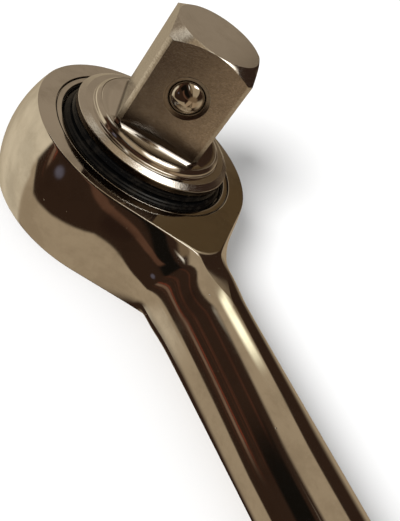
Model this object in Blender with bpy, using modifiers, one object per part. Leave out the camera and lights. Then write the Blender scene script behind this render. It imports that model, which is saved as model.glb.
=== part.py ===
"""Ratcheting breaker bar with a 3/4 inch square drive, built as separate pieces.

Frame, in metres: the origin lies on the drive axis at the flat back face of the
head, +Z points out through the drive square and +X runs along the handle.
"""

import math

import bmesh
import bpy
from mathutils import Matrix, Vector

MM = 0.001

# Driving sizes, in millimetres.
SQUARE = 19.05                # drive square across its flats, 3/4 inch
OVERALL_LENGTH = 610.0        # back of the head to the end of the grip, 24 inch
HEAD_THICKNESS = 20.4
HEAD_FACE_RADIUS = 25.4       # flat faces of the head
HEAD_BULGE_RADIUS = 27.3      # widest line of the barrelled side
FACE_TIP_X = 34.0             # where the straight edges of the face would meet
BULGE_TIP_X = 37.5            # where the straight flanks at mid height would meet
BAR_RADIUS = 9.13
GRIP_RADIUS = 10.0
GRIP_LENGTH = 150.0

# Drive square and hub, heights above the back face.
HUB_TOP = 26.5
SQUARE_TIP = HUB_TOP + 23.3
SQUARE_END_RADIUS = 9.45      # flat left by the conical end chamfer
SQUARE_CHAMFER = 2.1          # height of that chamfer at the corners
CORNER_RADIUS = 12.75         # the four corners are turned to this radius
DRIVE_TURN = math.radians(-36.07)
BALL_HEIGHT = HUB_TOP + 12.4
BALL_RADIUS = 3.97
BALL_SINK = 2.15              # ball centre below its flat of the square
BALL_HOLE_FLOOR = -2.0        # floor of the ball's hole, from the drive axis

# Ratchet gear and pawl.
TEETH = 24
GEAR_TIP_RADIUS = 15.2
GEAR_ROOT_RADIUS = 13.5
TIP_HALF_ANGLE = math.radians(2.2)
GAP_HALF_ANGLE = math.radians(1.9)
GEAR_BOTTOM = 5.8
GEAR_TOP = 14.5
PAWL_X = 18.4                 # pivot pin of the pawl
PAWL_ROCK = math.radians(5.5)
PAWL_BOTTOM = 5.0
PAWL_TOP = 13.7
PAWL_BACK_X = 21.6
PAWL_CLEARANCE = 0.25

# Selector.
SPINDLE_X = 26.5
SPINDLE_RADIUS = 3.8
LEVER_SWING = math.radians(28.0)
PLUNGER_REACH = 5.25
PLUNGER_RADIUS = 1.4
PLUNGER_HEIGHT = 9.2
LEVER_BOTTOM = 0.3
LEVER_TOP = 2.2
LEVER_RECESS = 2.5
LEVER_SEAT_RADIUS = 4.7
LEVER_REACH = 13.2
FINGER_ROOM = 0.6            # between the lever's tab and the wall of its recess

# Depths of the blind bore in the head.
BORE_FLOOR = 4.4
COUNTERBORE_FLOOR = 14.0
COUNTERBORE_RADIUS = 21.4
GEAR_BORE_RADIUS = 15.7
GAP = 0.3                     # left between pieces that touch
CLOSING = 0.25                # share by which a spring's pitch drops at its ends
RUN = 0.2                     # radial running clearance

ROUND_STEPS = 48
FINE_STEPS = 24


def start_scene():
    for old in list(bpy.data.objects):
        bpy.data.objects.remove(old, do_unlink=True)
    parts = bpy.data.collections.new("ratcheting_breaker_bar")
    cutters = bpy.data.collections.new("cutters")
    for group in (parts, cutters):
        bpy.context.scene.collection.children.link(group)
    return parts, cutters


PARTS, CUTTERS = start_scene()


def make_material(name, colour, roughness, metallic):
    material = bpy.data.materials.new(name)
    material.use_nodes = True
    shader = material.node_tree.nodes["Principled BSDF"]
    shader.inputs["Base Color"].default_value = (*colour, 1.0)
    shader.inputs["Roughness"].default_value = roughness
    shader.inputs["Metallic"].default_value = metallic
    material.diffuse_color = (*colour, 1.0)
    return material


def add_object(name, mesh, group=PARTS):
    made = bpy.data.objects.new(name, mesh)
    group.objects.link(made)
    if group is CUTTERS:
        made.hide_render = True
        made.display_type = "WIRE"
    return made


def place(made, location=(0, 0, 0), turn=0.0):
    made.location = Vector(location) * MM
    made.rotation_euler = (0, 0, turn)
    return made


def finish(made, colour, roughness, metallic=1.0):
    made.data.materials.append(make_material(made.name, colour, roughness, metallic))
    return made


def turned(name, profile, group=PARTS, steps=ROUND_STEPS):
    """A solid of revolution about Z; the profile runs down its outer side."""
    mesh = bpy.data.meshes.new(name)
    points = [(radius * MM, 0, height * MM) for radius, height in profile]
    mesh.from_pydata(points, [(i, i + 1) for i in range(len(points) - 1)], [])
    made = add_object(name, mesh, group)
    screw = made.modifiers.new("turn", "SCREW")
    screw.steps = steps
    screw.render_steps = steps
    screw.use_merge_vertices = True
    screw.merge_threshold = 0.00001
    screw.use_smooth_shade = True
    return made


def turned_ring(name, profile, group=PARTS, steps=ROUND_STEPS):
    """A ring of revolution; the profile is a closed loop that starts down the outside."""
    return turned(name, profile + profile[:1], group, steps)


def mesh_from_curve(name, curve, group, location=(0, 0, 0)):
    """The evaluated curve as a welded mesh object, so that it can be cut."""
    holder = bpy.data.objects.new(name + "_curve", curve)
    PARTS.objects.link(holder)
    holder.location = location
    bpy.context.view_layer.update()
    evaluated = holder.evaluated_get(bpy.context.evaluated_depsgraph_get())
    mesh = bpy.data.meshes.new_from_object(evaluated)
    mesh.name = name
    shape = bmesh.new()
    shape.from_mesh(mesh)
    bmesh.ops.remove_doubles(shape, verts=shape.verts, dist=0.000001)
    shape.to_mesh(mesh)
    shape.free()
    made = add_object(name, mesh, group)
    made.matrix_world = holder.matrix_world.copy()
    bpy.data.objects.remove(holder, do_unlink=True)
    return made


def plate(name, loops, bottom, top, group=PARTS):
    """A flat outline, with any holes as further loops, between two heights."""
    curve = bpy.data.curves.new(name, "CURVE")
    curve.dimensions = "2D"
    curve.fill_mode = "BOTH"
    curve.extrude = (top - bottom) / 2 * MM
    for loop in loops:
        spline = curve.splines.new("POLY")
        spline.points.add(len(loop) - 1)
        for point, (x, y) in zip(spline.points, loop):
            point.co = (x * MM, y * MM, 0, 1)
        spline.use_cyclic_u = True
    return mesh_from_curve(name, curve, group, (0, 0, (top + bottom) / 2 * MM))


def wire(name, points, radius, closed=False):
    """A round wire through a row of points, with filled ends."""
    curve = bpy.data.curves.new(name, "CURVE")
    curve.dimensions = "3D"
    curve.bevel_depth = radius * MM
    curve.bevel_resolution = 2
    curve.use_fill_caps = not closed
    spline = curve.splines.new("POLY")
    spline.points.add(len(points) - 1)
    for point, place_mm in zip(spline.points, points):
        point.co = (*[value * MM for value in place_mm], 1)
    spline.use_cyclic_u = closed
    return add_object(name, curve)


def rod(name, radius, bottom, top, x=0.0, y=0.0, group=PARTS, steps=FINE_STEPS):
    shape = bmesh.new()
    middle = Matrix.Translation(Vector((x, y, (bottom + top) / 2)) * MM)
    bmesh.ops.create_cone(shape, cap_ends=True, segments=steps, radius1=radius * MM,
                          radius2=radius * MM, depth=(top - bottom) * MM, matrix=middle)
    mesh = bpy.data.meshes.new(name)
    shape.to_mesh(mesh)
    shape.free()
    return add_object(name, mesh, group)


def combine(target, other, operation):
    step = target.modifiers.new(operation.lower() + "_" + other.name, "BOOLEAN")
    step.operation = operation
    step.object = other
    step.solver = "EXACT"


def cut(target, *cutters):
    for cutter in cutters:
        combine(target, cutter, "DIFFERENCE")


def smooth_step(value):
    value = min(max(value, 0.0), 1.0)
    return value * value * (3 - 2 * value)


def arc(centre_x, centre_y, radius, start, end, count):
    angles = [start + (end - start) * i / (count - 1) for i in range(count)]
    return [(centre_x + radius * math.cos(a), centre_y + radius * math.sin(a)) for a in angles]


def circle(radius, count=FINE_STEPS, x=0.0, y=0.0):
    return arc(x, y, radius, 0, 2 * math.pi, count + 1)[:-1]


# The forged body: a barrelled round head that runs out into a round bar.

HALF_THICKNESS = HEAD_THICKNESS / 2
FACE_ANGLE = math.acos(HEAD_FACE_RADIUS / FACE_TIP_X)
BULGE_ANGLE = math.acos(HEAD_BULGE_RADIUS / BULGE_TIP_X)
NECK_FILLET = 4.0             # softness of the flank's run-out into the bar
NECK_END_X = 90.0
TIP_RADIUS = 5.9              # rounding of the flat face's tip
TIP_FALL = 3.5                # length over which the neck drops to the bar past the tip
CREASE_HALF_WIDTH = 2.6
EDGE_POINTS = 7               # points from the edge of the face to mid height
BAR_END_X = OVERALL_LENGTH - HEAD_BULGE_RADIUS


def flank_at(x):
    """Half width of the neck at mid height, easing into the bar."""
    straight = (HEAD_BULGE_RADIUS - x * math.cos(BULGE_ANGLE)) / math.sin(BULGE_ANGLE)
    above = straight - BAR_RADIUS
    softness = NECK_FILLET * smooth_step((x - HEAD_BULGE_RADIUS * math.cos(BULGE_ANGLE)) / 10)
    return BAR_RADIUS + (above + math.hypot(above, softness)) / 2


def face_edge_at(x):
    """Half width between the two creases that run on from the flat face's edges."""
    straight = (HEAD_FACE_RADIUS - x * math.cos(FACE_ANGLE)) / math.sin(FACE_ANGLE)
    spare = straight - CREASE_HALF_WIDTH
    kept = CREASE_HALF_WIDTH + (spare + math.hypot(spare, 1.2)) / 2
    return kept * (1 - smooth_step((x - FACE_TIP_X - 2) / 14))


def top_height(x, y):
    """Height above mid plane of the top of the neck, which falls off past the face's tip."""
    centre = FACE_TIP_X - TIP_RADIUS / math.cos(FACE_ANGLE)
    if math.atan2(abs(y), x - centre) > FACE_ANGLE:
        beyond = x * math.cos(FACE_ANGLE) + abs(y) * math.sin(FACE_ANGLE) - HEAD_FACE_RADIUS
    else:
        beyond = math.hypot(x - centre, y) - TIP_RADIUS
    drop = 1 - math.exp(-max(beyond, 0.0) / TIP_FALL)
    return HALF_THICKNESS - (HALF_THICKNESS - BAR_RADIUS) * drop


def head_stations(count):
    """Rows of (edge point, mid point, half height, roundness) from the back to the neck."""
    rows = []
    for i in range(count):
        share = i / (count - 1)
        edge = math.pi - (math.pi - FACE_ANGLE) * share
        middle = math.pi - (math.pi - BULGE_ANGLE) * share
        rows.append((Vector((math.cos(edge), math.sin(edge))) * HEAD_FACE_RADIUS,
                     Vector((math.cos(middle), math.sin(middle))) * HEAD_BULGE_RADIUS,
                     HALF_THICKNESS, 0.0))
    rows[0][0].y = 0.0
    rows[0][1].y = 0.0
    return rows


def neck_stations(count):
    start = HEAD_FACE_RADIUS * math.cos(FACE_ANGLE)
    offset = HEAD_BULGE_RADIUS * math.cos(BULGE_ANGLE) - start
    rows = []
    for i in range(1, count + 1):
        x = start + (NECK_END_X - start) * (i / count) ** 1.5
        middle_x = x + offset * (1 - smooth_step((x - start) / 20))
        edge = Vector((x, face_edge_at(x)))
        rows.append((edge, Vector((middle_x, flank_at(middle_x))), top_height(edge.x, edge.y),
                     smooth_step((x - 24) / 20)))
    return rows


def bar_stations():
    """The round bar, its swell into the grip and the domed end."""
    grip_start = BAR_END_X - GRIP_LENGTH
    radii = [(grip_start - 14, BAR_RADIUS)]
    radii += [(grip_start - 14 + 2 * i, BAR_RADIUS + (GRIP_RADIUS - BAR_RADIUS)
               * smooth_step(i / 7)) for i in range(1, 8)]
    radii += [(BAR_END_X - 7.5, GRIP_RADIUS)]
    dome = [math.radians(angle) for angle in (20, 40, 60, 75)]
    radii += [(BAR_END_X - 7.5 * (1 - math.sin(a) / math.sin(dome[-1])),
               GRIP_RADIUS * math.cos(a)) for a in dome]
    return [(Vector((x, 0)), Vector((x, radius)), radius, 1.0) for x, radius in radii]


def side_curve(edge, middle, height, roundness):
    """From the edge of the face to mid height: a barrel on the head, an arc on the bar."""
    points = []
    for i in range(EDGE_POINTS):
        share = i / (EDGE_POINTS - 1)
        barrel = edge.lerp(middle, 1 - (1 - share) ** 2)
        barrel_height = height * (1 - share)
        angle = share * math.pi / 2
        bow = edge.lerp(middle, math.sin(angle))
        place_xy = barrel.lerp(bow, roundness)
        rise = barrel_height + (height * math.cos(angle) - barrel_height) * roundness
        points.append(Vector((place_xy.x, place_xy.y, rise)))
    return points


def body_half():
    """Half of the body, open at the plane through the handle, ready to mirror."""
    rows = head_stations(22) + neck_stations(22) + bar_stations()
    shape = bmesh.new()
    loops = []
    for edge, middle, height, roundness in rows:
        upper = side_curve(edge, middle, height, roundness)
        lower = [Vector((p.x, p.y, -p.z)) for p in reversed(upper[:-1])]
        ridge = top_height(edge.x, 0) if edge.y > 0 else height
        outline = [Vector((edge.x, 0, ridge))] + upper + lower + [Vector((edge.x, 0, -ridge))]
        loops.append([shape.verts.new((p + Vector((0, 0, HALF_THICKNESS))) * MM)
                      for p in outline])
    for first, second in zip(loops, loops[1:]):
        for i in range(len(first) - 1):
            shape.faces.new((first[i], second[i], second[i + 1], first[i + 1]))
    shape.faces.new(loops[-1])
    bmesh.ops.remove_doubles(shape, verts=shape.verts, dist=0.000002)
    bmesh.ops.dissolve_degenerate(shape, edges=shape.edges, dist=0.000001)
    bmesh.ops.recalc_face_normals(shape, faces=shape.faces)
    mesh = bpy.data.meshes.new("head_and_bar")
    shape.to_mesh(mesh)
    shape.free()
    mesh.shade_smooth()
    mesh.set_sharp_from_angle(angle=math.radians(35))
    return mesh


def selector_recess():
    """The round seat of the lever and the fan that its tab sweeps."""
    half = LEVER_SWING + math.radians(17)
    opening = math.radians(70)
    seat = LEVER_SEAT_RADIUS + 0.4
    outline = arc(SPINDLE_X, 0, seat, -math.pi + opening, math.pi - opening, 17)
    fan = LEVER_REACH + FINGER_ROOM
    return outline + arc(SPINDLE_X, 0, fan, math.pi - half, math.pi + half, 13)


def pawl_pocket():
    wall = PAWL_BACK_X + 1.5
    side = [(8.0, 12.4), (wall - 6.4, 12.4), (wall, 9.2)]
    return side + [(x, -y) for x, y in reversed(side)]


def window_outline():
    """Room for the plunger to swing between the spindle and the pawl."""
    near = SPINDLE_X - 1.3
    far = PAWL_BACK_X + 0.6
    return [(far, -5.0), (near, -4.2), (near, 4.2), (far, 5.0)]


def build_body():
    body = add_object("head_and_bar", body_half())
    mirror = body.modifiers.new("other_half", "MIRROR")
    mirror.use_axis = (False, True, False)
    mirror.use_clip = True
    mirror.merge_threshold = 0.00001
    bore = turned("bore_cutter", [
        (0, 22), (COUNTERBORE_RADIUS, 22), (COUNTERBORE_RADIUS, 20.05), (22.1, 20.05),
        (22.1, 18.55), (COUNTERBORE_RADIUS, 18.55), (COUNTERBORE_RADIUS, COUNTERBORE_FLOOR),
        (GEAR_BORE_RADIUS, COUNTERBORE_FLOOR), (GEAR_BORE_RADIUS, BORE_FLOOR),
        (8.8, BORE_FLOOR), (8.8, 2.7), (0, 2.7)], CUTTERS)
    pocket = plate("pocket_cutter", [pawl_pocket()], 4.7, 14.6, CUTTERS)
    window = plate("window_cutter", [window_outline()], PLUNGER_HEIGHT - 2.2, PLUNGER_HEIGHT + 2.2,
                   CUTTERS)
    recess = plate("recess_cutter", [selector_recess()], -1.0, LEVER_RECESS, CUTTERS)
    spindle_bore = rod("spindle_bore_cutter", SPINDLE_RADIUS + RUN, 1.5, 14.9, SPINDLE_X,
                       group=CUTTERS)
    pin_hole = rod("pin_hole_cutter", 1.5, 3.1, 5.5, PAWL_X, group=CUTTERS)
    cut(body, bore, pocket, window, recess, spindle_bore, pin_hole)
    return finish(body, (0.72, 0.68, 0.60), 0.12)


# The drive: ratchet gear, flange, collar, hub and square in one piece.

def gear_outline(phase):
    """Straight-sided teeth, the same on both flanks, so that either pawl end can hold."""
    pitch = 2 * math.pi / TEETH
    points = []
    for tooth in range(TEETH):
        middle = phase + tooth * pitch
        for radius, turn in ((GEAR_ROOT_RADIUS, -pitch / 2 + GAP_HALF_ANGLE),
                             (GEAR_TIP_RADIUS, -TIP_HALF_ANGLE),
                             (GEAR_TIP_RADIUS, TIP_HALF_ANGLE),
                             (GEAR_ROOT_RADIUS, pitch / 2 - GAP_HALF_ANGLE)):
            points.append((radius * math.cos(middle + turn), radius * math.sin(middle + turn)))
    return points


def drive_square():
    half = SQUARE / 2
    square = plate("square_blank", [[(-half, -half), (half, -half), (half, half), (-half, half)]],
                   18.0, SQUARE_TIP + 2, CUTTERS)
    envelope = turned("square_envelope", [
        (0, SQUARE_TIP), (SQUARE_END_RADIUS, SQUARE_TIP),
        (CORNER_RADIUS, SQUARE_TIP - SQUARE_CHAMFER), (CORNER_RADIUS, 19.0), (0, 19.0)],
        CUTTERS, 96)
    combine(square, envelope, "INTERSECT")
    return square


def ball_hole():
    """Turned cutter along the normal of the ball's flat, with a staked lip."""
    half = SQUARE / 2
    hole = turned("ball_hole_cutter", [
        (0, half + 1.0), (4.5, half + 1.0), (4.5, half - 0.12), (3.85, half - 0.2),
        (3.72, half - 0.4), (3.85, half - 0.75), (BALL_RADIUS + 0.25, half - 1.2),
        (BALL_RADIUS + 0.25, BALL_HOLE_FLOOR), (0, BALL_HOLE_FLOOR)], CUTTERS, FINE_STEPS)
    hole.rotation_euler = (0, math.pi / 2, 0)
    hole.location = (0, 0, BALL_HEIGHT * MM)
    return hole


def build_drive_gear():
    gear = turned("drive_gear", [
        (0, HUB_TOP), (14.0, HUB_TOP), (14.4, HUB_TOP - 0.2), (14.85, HUB_TOP - 0.7),
        (15.0, 25.3), (15.2, 25.0), (16.8, 25.0), (18.2, 24.2), (18.2, 22.9), (17.2, 22.7),
        (17.2, 16.1), (21.1, 16.1), (21.1, 14.3), (13.0, 14.3), (13.0, 6.2), (8.5, 6.2),
        (8.5, 3.0), (0, 3.0)])
    place(gear, turn=DRIVE_TURN)
    teeth = plate("gear_teeth", [gear_outline(-DRIVE_TURN)], GEAR_BOTTOM, GEAR_TOP, CUTTERS)
    for helper in (teeth, drive_square(), ball_hole()):
        helper.parent = gear
    combine(gear, teeth, "UNION")
    combine(gear, bpy.data.objects["square_blank"], "UNION")
    cut(gear, bpy.data.objects["ball_hole_cutter"])
    return finish(gear, (0.66, 0.61, 0.53), 0.22)


def coil(radius, start, end, turns, steps=12):
    """Points of a spring along +X, its two end turns closer together."""
    points = []
    count = int(turns * steps)
    for i in range(count + 1):
        share = i / count
        advance = share - CLOSING * math.sin(2 * math.pi * share) / (2 * math.pi)
        angle = 2 * math.pi * turns * share
        points.append((start + (end - start) * advance, radius * math.cos(angle),
                       radius * math.sin(angle)))
    return points


def build_detent(drive):
    mesh = bpy.data.meshes.new("detent_ball")
    shape = bmesh.new()
    bmesh.ops.create_uvsphere(shape, u_segments=24, v_segments=14, radius=BALL_RADIUS * MM)
    shape.to_mesh(mesh)
    shape.free()
    mesh.shade_smooth()
    ball = add_object("detent_ball", mesh)
    ball.parent = drive
    place(ball, (SQUARE / 2 - BALL_SINK, 0, BALL_HEIGHT))
    finish(ball, (0.75, 0.70, 0.62), 0.08)
    back = SQUARE / 2 - BALL_SINK - BALL_RADIUS
    spring = wire("detent_spring", coil(2.6, BALL_HOLE_FLOOR + GAP + 0.3, back - 0.15, 4.5),
                  0.3)
    spring.parent = drive
    place(spring, (0, 0, BALL_HEIGHT))
    finish(spring, (0.45, 0.44, 0.42), 0.35)


# Rings that hold and seal the gear in the head.

def build_rings(drive):
    washer = turned_ring("thrust_washer", [(13.3, 5.5), (13.3, 4.7), (9.2, 4.7), (9.2, 5.5)])
    finish(washer, (0.62, 0.45, 0.20), 0.35)
    front = turned_ring("front_washer", [(21.0, 17.2), (21.0, 16.4), (17.6, 16.4), (17.6, 17.2)])
    finish(front, (0.55, 0.53, 0.50), 0.3)
    cover = turned_ring("cover_ring", [
        (21.1, 20.25), (21.1, 19.95), (20.6, 19.95), (20.6, 18.65), (21.1, 18.65), (21.1, 17.5),
        (19.6, 17.5), (19.6, 19.6), (20.1, 20.25)])
    finish(cover, (0.70, 0.66, 0.58), 0.15)
    gap_angle = math.radians(4)
    route = arc(0, 0, 21.25, math.pi / 2 + gap_angle, math.pi * 5 / 2 - gap_angle, 56)
    snap = wire("cover_snap_ring", [(x, y, 0) for x, y in route], 0.5)
    place(snap, (0, 0, 19.3))
    finish(snap, (0.50, 0.47, 0.42), 0.25)
    lower = turned_ring("lower_seal", [
        (18.6, 20.7), (19.0, 20.4), (18.8, 20.1), (19.2, 19.7), (19.0, 19.4), (19.35, 18.9),
        (19.35, 17.6), (17.5, 17.6), (17.5, 20.7)], steps=36)
    finish(lower, (0.02, 0.02, 0.02), 0.35, 0.0)
    upper = turned_ring("upper_seal", [
        (18.0, 22.4), (18.2, 22.1), (18.0, 21.8), (18.3, 21.4), (18.0, 21.0), (17.4, 21.0),
        (17.4, 22.4)], steps=36)
    finish(upper, (0.02, 0.02, 0.02), 0.35, 0.0)
    upper.parent = drive


# Pawl: a rocker whose two toothed ends take turns in the gear.

def gear_radius(angle):
    """Radius of the gear, grown by the clearance, in the direction of an angle."""
    pitch = 2 * math.pi / TEETH
    turn = abs((angle + pitch / 2) % pitch - pitch / 2)
    widen = PAWL_CLEARANCE / GEAR_TIP_RADIUS
    tip = TIP_HALF_ANGLE + widen
    root = pitch / 2 - GAP_HALF_ANGLE + widen
    share = min(max((turn - tip) / (root - tip), 0.0), 1.0)
    grown = GEAR_TIP_RADIUS + (GEAR_ROOT_RADIUS - GEAR_TIP_RADIUS) * share
    return grown + PAWL_CLEARANCE


def clears_gear(x, y):
    """Whether a point of the pawl stays out of the gear while the pawl rocks over."""
    steps = 8
    for i in range(steps + 1):
        rock = PAWL_ROCK * (2 * i / steps - 1)
        from_pin = Vector((x - PAWL_X, y))
        from_pin.rotate(Matrix.Rotation(rock, 2))
        moved = from_pin + Vector((PAWL_X, 0))
        if moved.length < gear_radius(math.atan2(moved.y, moved.x)):
            return False
    return True


def pawl_front():
    """The toothed side, seen from the gear axis, worked out from the gear's own teeth."""
    reach = math.radians(40.5)
    heel = math.radians(15)
    count = 87
    points = []
    for i in range(count):
        angle = -reach + 2 * reach * i / (count - 1)
        floor = GEAR_TIP_RADIUS + 0.7 if abs(angle) < heel else GEAR_ROOT_RADIUS + 0.3
        radius = GEAR_TIP_RADIUS + 2.5
        while radius > floor and clears_gear((radius - 0.1) * math.cos(angle),
                                             (radius - 0.1) * math.sin(angle)):
            radius -= 0.1
        points.append((radius * math.cos(angle), radius * math.sin(angle)))
    return points


def build_pawl():
    notch = arc(SPINDLE_X, 0, PLUNGER_REACH + 0.25, math.pi - 0.45, math.pi + 0.45, 9)
    outline = pawl_front()
    shoulder = [(PAWL_X - 3.0, 10.2), (PAWL_X + 0.3, 9.9), (PAWL_BACK_X, 7.4)]
    outline += shoulder + notch
    outline += [(x, -y) for x, y in reversed(shoulder)]
    moved = [(x - PAWL_X, y) for x, y in outline]
    pawl = plate("pawl", [moved, circle(1.5)], PAWL_BOTTOM, PAWL_TOP)
    pawl.location += Vector((PAWL_X, 0, 0)) * MM
    pawl.rotation_euler = (0, 0, PAWL_ROCK)
    finish(pawl, (0.30, 0.29, 0.28), 0.4)
    pin = rod("pawl_pin", 1.3, 3.4, 13.8)
    place(pin, (PAWL_X, 0, 0))
    finish(pin, (0.5, 0.5, 0.5), 0.25)


# Selector: spindle, flush lever, screw, seal, and the plunger that pushes the pawl.

def selector_axis():
    axis = bpy.data.objects.new("selector_axis", None)
    PARTS.objects.link(axis)
    return place(axis, (SPINDLE_X, 0, 0), -LEVER_SWING)


def build_spindle(axis):
    low_groove = 3.4
    top_groove = 4.5
    spindle = turned("selector_spindle", [
        (0, 14.4), (SPINDLE_RADIUS - 0.4, 14.4), (SPINDLE_RADIUS, 14.0),
        (SPINDLE_RADIUS, top_groove), (2.8, top_groove), (2.8, low_groove),
        (SPINDLE_RADIUS, low_groove), (SPINDLE_RADIUS, 2.6), (0, 2.6)], steps=32)
    half = 2.5
    tang = plate("tang", [[(-half, -half), (half, -half), (half, half), (-half, half)]],
                 1.7, 3.0, CUTTERS)
    cross_hole = turned("plunger_hole_cutter", [(0, 6.0), (1.6, 6.0), (1.6, -2.6), (0, -2.6)],
                        CUTTERS, FINE_STEPS)
    cross_hole.rotation_euler = (0, -math.pi / 2, 0)
    cross_hole.location = (0, 0, PLUNGER_HEIGHT * MM)
    screw_hole = rod("screw_hole_cutter", 1.4, 1.0, 6.6, group=CUTTERS)
    for helper in (spindle, tang, cross_hole, screw_hole):
        helper.parent = axis
    combine(spindle, tang, "UNION")
    cut(spindle, cross_hole, screw_hole)
    finish(spindle, (0.55, 0.53, 0.50), 0.25)


def lever_outline():
    half = math.radians(13)
    root = math.radians(35)
    outline = arc(0, 0, LEVER_SEAT_RADIUS, -math.pi + root, math.pi - root, 21)
    return outline + arc(0, 0, LEVER_REACH, math.pi - half, math.pi + half, 9)


def build_lever(axis):
    lever = plate("reversing_lever", [lever_outline()], LEVER_BOTTOM, LEVER_TOP)
    through = rod("lever_hole_cutter", 1.5, -1, 4, group=CUTTERS)
    sink = turned("countersink_cutter", [(0, 1.3), (1.5, 1.3), (2.9, 0.2), (2.9, -1), (0, -1)],
                  CUTTERS, FINE_STEPS)
    half = 2.7
    seat = plate("tang_cutter", [[(-half, -half), (half, -half), (half, half), (-half, half)]],
                 1.45, 4.0, CUTTERS)
    for helper in (lever, through, sink, seat):
        helper.parent = axis
    cut(lever, through, sink, seat)
    finish(lever, (0.70, 0.66, 0.58), 0.15)
    screw = turned("lever_screw", [
        (0, 6.2), (0.9, 6.2), (1.15, 5.95), (1.15, 1.5), (2.55, 0.4), (0, 0.4)],
        steps=FINE_STEPS)
    slot = plate("slot_cutter", [[(-0.35, -3), (0.35, -3), (0.35, 3), (-0.35, 3)]], 0, 0.95,
                 CUTTERS)
    for helper in (screw, slot):
        helper.parent = axis
    cut(screw, slot)
    finish(screw, (0.35, 0.34, 0.33), 0.3)


def build_plunger(axis):
    tip = PLUNGER_REACH
    plunger = turned("pawl_plunger", [
        (0, tip), (0.7, tip - 0.18), (1.2, tip - 0.65), (PLUNGER_RADIUS, tip - 1.3),
        (PLUNGER_RADIUS, 1.3), (0, 1.3)], steps=FINE_STEPS)
    plunger.rotation_euler = (0, -math.pi / 2, 0)
    plunger.location = (0, 0, PLUNGER_HEIGHT * MM)
    finish(plunger, (0.5, 0.5, 0.5), 0.25)
    spring = wire("plunger_spring", coil(1.05, -2.1, 0.85, 4.5), 0.22)
    spring.rotation_euler = (0, 0, math.pi)
    spring.location = (0, 0, PLUNGER_HEIGHT * MM)
    finish(spring, (0.45, 0.44, 0.42), 0.35)
    ring = [(x, y, 0) for x, y in circle(3.38, 32)]
    seal = wire("spindle_oring", ring, 0.4, closed=True)
    seal.location = (0, 0, 3.95 * MM)
    finish(seal, (0.02, 0.02, 0.02), 0.4, 0.0)
    for helper in (plunger, spring, seal):
        helper.parent = axis


def main():
    build_body()
    drive = build_drive_gear()
    build_detent(drive)
    build_rings(drive)
    build_pawl()
    axis = selector_axis()
    build_spindle(axis)
    build_lever(axis)
    build_plunger(axis)
    bpy.context.view_layer.update()


main()
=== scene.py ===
"""Looks of the ratcheting breaker bar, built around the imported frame.

Sizes are in millimetres unless a name says otherwise; MM turns them into metres.
The frame's origin is on the drive axis at the back face of the head, +Z leaves
through the drive square and +X runs along the handle.
"""

import math

import bmesh
import bpy
from mathutils import Matrix, Vector


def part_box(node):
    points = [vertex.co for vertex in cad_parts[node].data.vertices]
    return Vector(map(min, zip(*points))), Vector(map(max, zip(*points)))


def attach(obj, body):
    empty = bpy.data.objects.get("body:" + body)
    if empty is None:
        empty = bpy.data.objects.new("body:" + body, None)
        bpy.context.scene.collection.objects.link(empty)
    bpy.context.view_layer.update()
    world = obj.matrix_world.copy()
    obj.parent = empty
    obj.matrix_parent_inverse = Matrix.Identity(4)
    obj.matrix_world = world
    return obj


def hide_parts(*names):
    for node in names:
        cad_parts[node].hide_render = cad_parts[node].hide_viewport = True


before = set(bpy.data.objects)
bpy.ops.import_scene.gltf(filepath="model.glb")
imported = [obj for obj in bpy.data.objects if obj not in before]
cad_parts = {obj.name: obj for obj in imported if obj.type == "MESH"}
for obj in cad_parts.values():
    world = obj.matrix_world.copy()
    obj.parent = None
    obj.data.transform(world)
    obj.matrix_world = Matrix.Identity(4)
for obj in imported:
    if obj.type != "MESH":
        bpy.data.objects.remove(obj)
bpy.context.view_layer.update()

MM = 0.001

# Camera: where it stands, what it looks at, and how far it is rolled.
CAMERA_AT = (110.21, -113.81, 108.56)
CAMERA_TARGET = (29.58, 1.69, 16.0)
CAMERA_ROLL = math.radians(39.58)
CAMERA_LENS = 56.97

# Head and bar.
HEAD_THICKNESS = 20.4
HALF_THICKNESS = HEAD_THICKNESS / 2
HEAD_FACE_RADIUS = 25.4
HEAD_BULGE_RADIUS = 27.3
FACE_TIP_X = 34.0
BULGE_TIP_X = 37.5
FACE_ANGLE = math.acos(HEAD_FACE_RADIUS / FACE_TIP_X)
BULGE_ANGLE = math.acos(HEAD_BULGE_RADIUS / BULGE_TIP_X)
NECK_FILLET = 4.0
NECK_FILLET_RUN = 10.0        # length over which that fillet comes in
NECK_END_X = 90.0
NECK_RUN = 20.0               # length over which the head's section turns into the bar's
NECK_ROUND_START_X = 24.0
TIP_RADIUS = 5.9              # rounding of the flat face's tip
TIP_FALL = 3.5                # length over which the neck drops to the bar past the tip
CREASE_HALF_WIDTH = 2.6
CREASE_RUN = 8.5              # length over which the two creases past the tip close
CREASE_SOFTNESS = 1.2
EDGE_ROUND = 0.3              # rounding of the edge of the head's flat faces
BAR_RADIUS = 9.13
BAR_END_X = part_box("head_and_bar")[1][0] / MM
GRIP_RADIUS = 10.0
GRIP_LENGTH = 150.0
SWELL_LENGTH = 14             # length over which the bar swells to the grip
PLAIN_START = 8.0             # smooth stretch before the knurl
PLAIN_END = 12.0              # smooth stretch between the knurl and the dome
KNURL_DEPTH = 0.4
KNURL_STEP = 1.35             # half the length of one diamond of the grip
DOME_LENGTH = 7.5
DOME_LAST_ANGLE = math.radians(75)

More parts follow.
